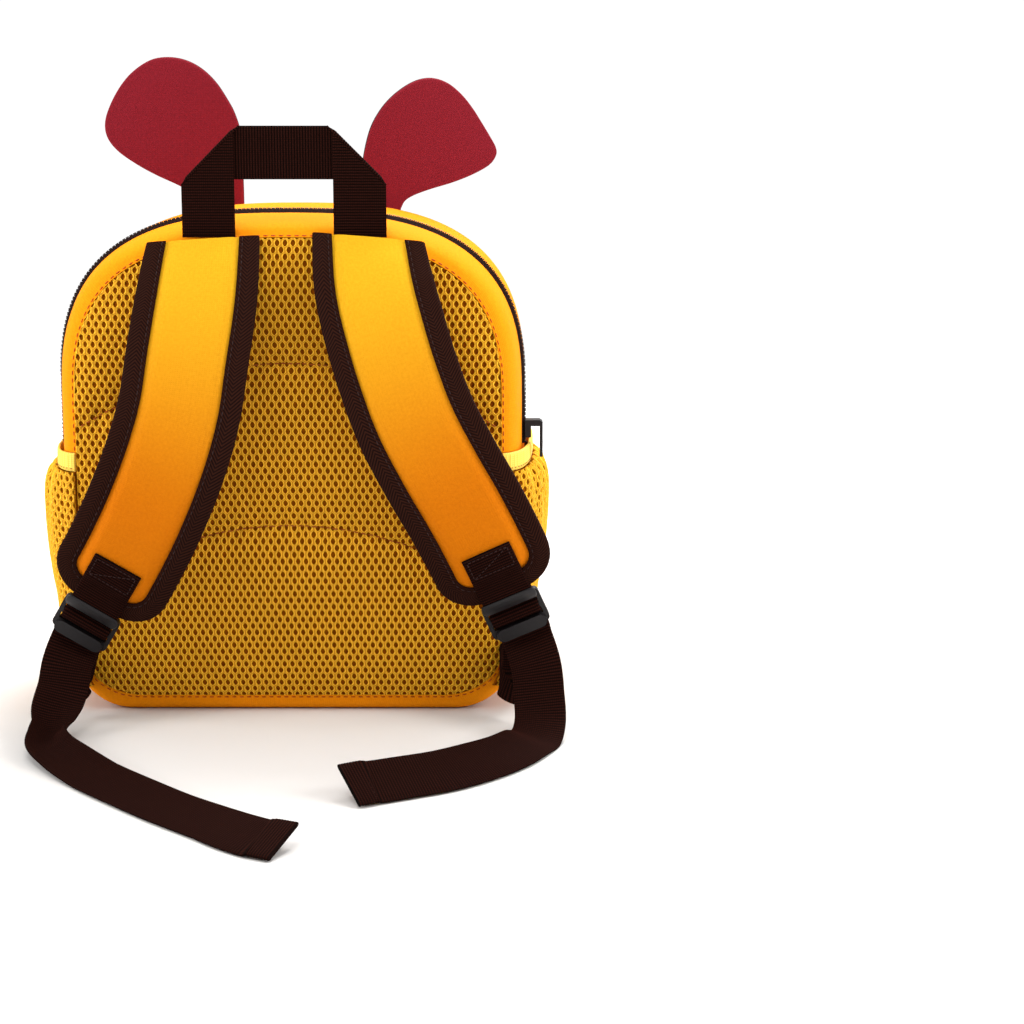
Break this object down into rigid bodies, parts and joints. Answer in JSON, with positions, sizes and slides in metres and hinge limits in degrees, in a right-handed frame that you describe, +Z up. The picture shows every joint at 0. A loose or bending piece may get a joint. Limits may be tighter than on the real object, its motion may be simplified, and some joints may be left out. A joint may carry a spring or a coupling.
{
  "type": "toddler backpack",
  "caption": "Small rounded child's backpack with padded mesh back, curved shoulder straps on webbing, top handle, mesh side pockets and ear shapes.",
  "frame": {"origin": "middle of the flat base, on the surface that the bag stands on", "axes": "+Z up, -Y out of the padded back towards the wearer, +X to the right seen from the wearer's side"},
  "size_m": [0.2589, 0.3456, 0.3115],
  "materials": {
    "neoprene_yellow": "fine-knit matte face",
    "spacer_mesh": "knitted mesh with open holes",
    "neoprene_burgundy": "fine-knit matte face",
    "webbing": "ribbed weave",
    "binding": "folded woven tape",
    "buckle_plastic": "fine moulded texture",
    "elastic": "ribbed elastic",
    "zip": "woven tape with a moulded coil"
  },
  "bodies": {
    "root": {"adjuster_left": "webbing", "adjuster_right": "webbing", "back_gusset": "neoprene_yellow", "back_panel": "spacer_mesh", "base_gusset": "neoprene_yellow", "buckle_webbing_left": "webbing", "buckle_webbing_right": "webbing", "ear_left": "neoprene_burgundy", "ear_right": "neoprene_burgundy", "front_gusset": "neoprene_yellow", "front_panel": "neoprene_yellow", "grab_handle": "webbing", "ladder_lock_left": "buckle_plastic", "ladder_lock_right": "buckle_plastic", "pocket_elastic_left": "elastic", "pocket_elastic_right": "elastic", "pocket_left": "spacer_mesh", "pocket_right": "spacer_mesh", "shoulder_binding_left": "binding", "shoulder_binding_right": "binding", "shoulder_face_left": "neoprene_yellow", "shoulder_face_right": "neoprene_yellow", "shoulder_mesh_left": "spacer_mesh", "shoulder_mesh_right": "spacer_mesh", "zip_slider": "buckle_plastic", "zipper": "zip"}
  },
  "joints": []
}
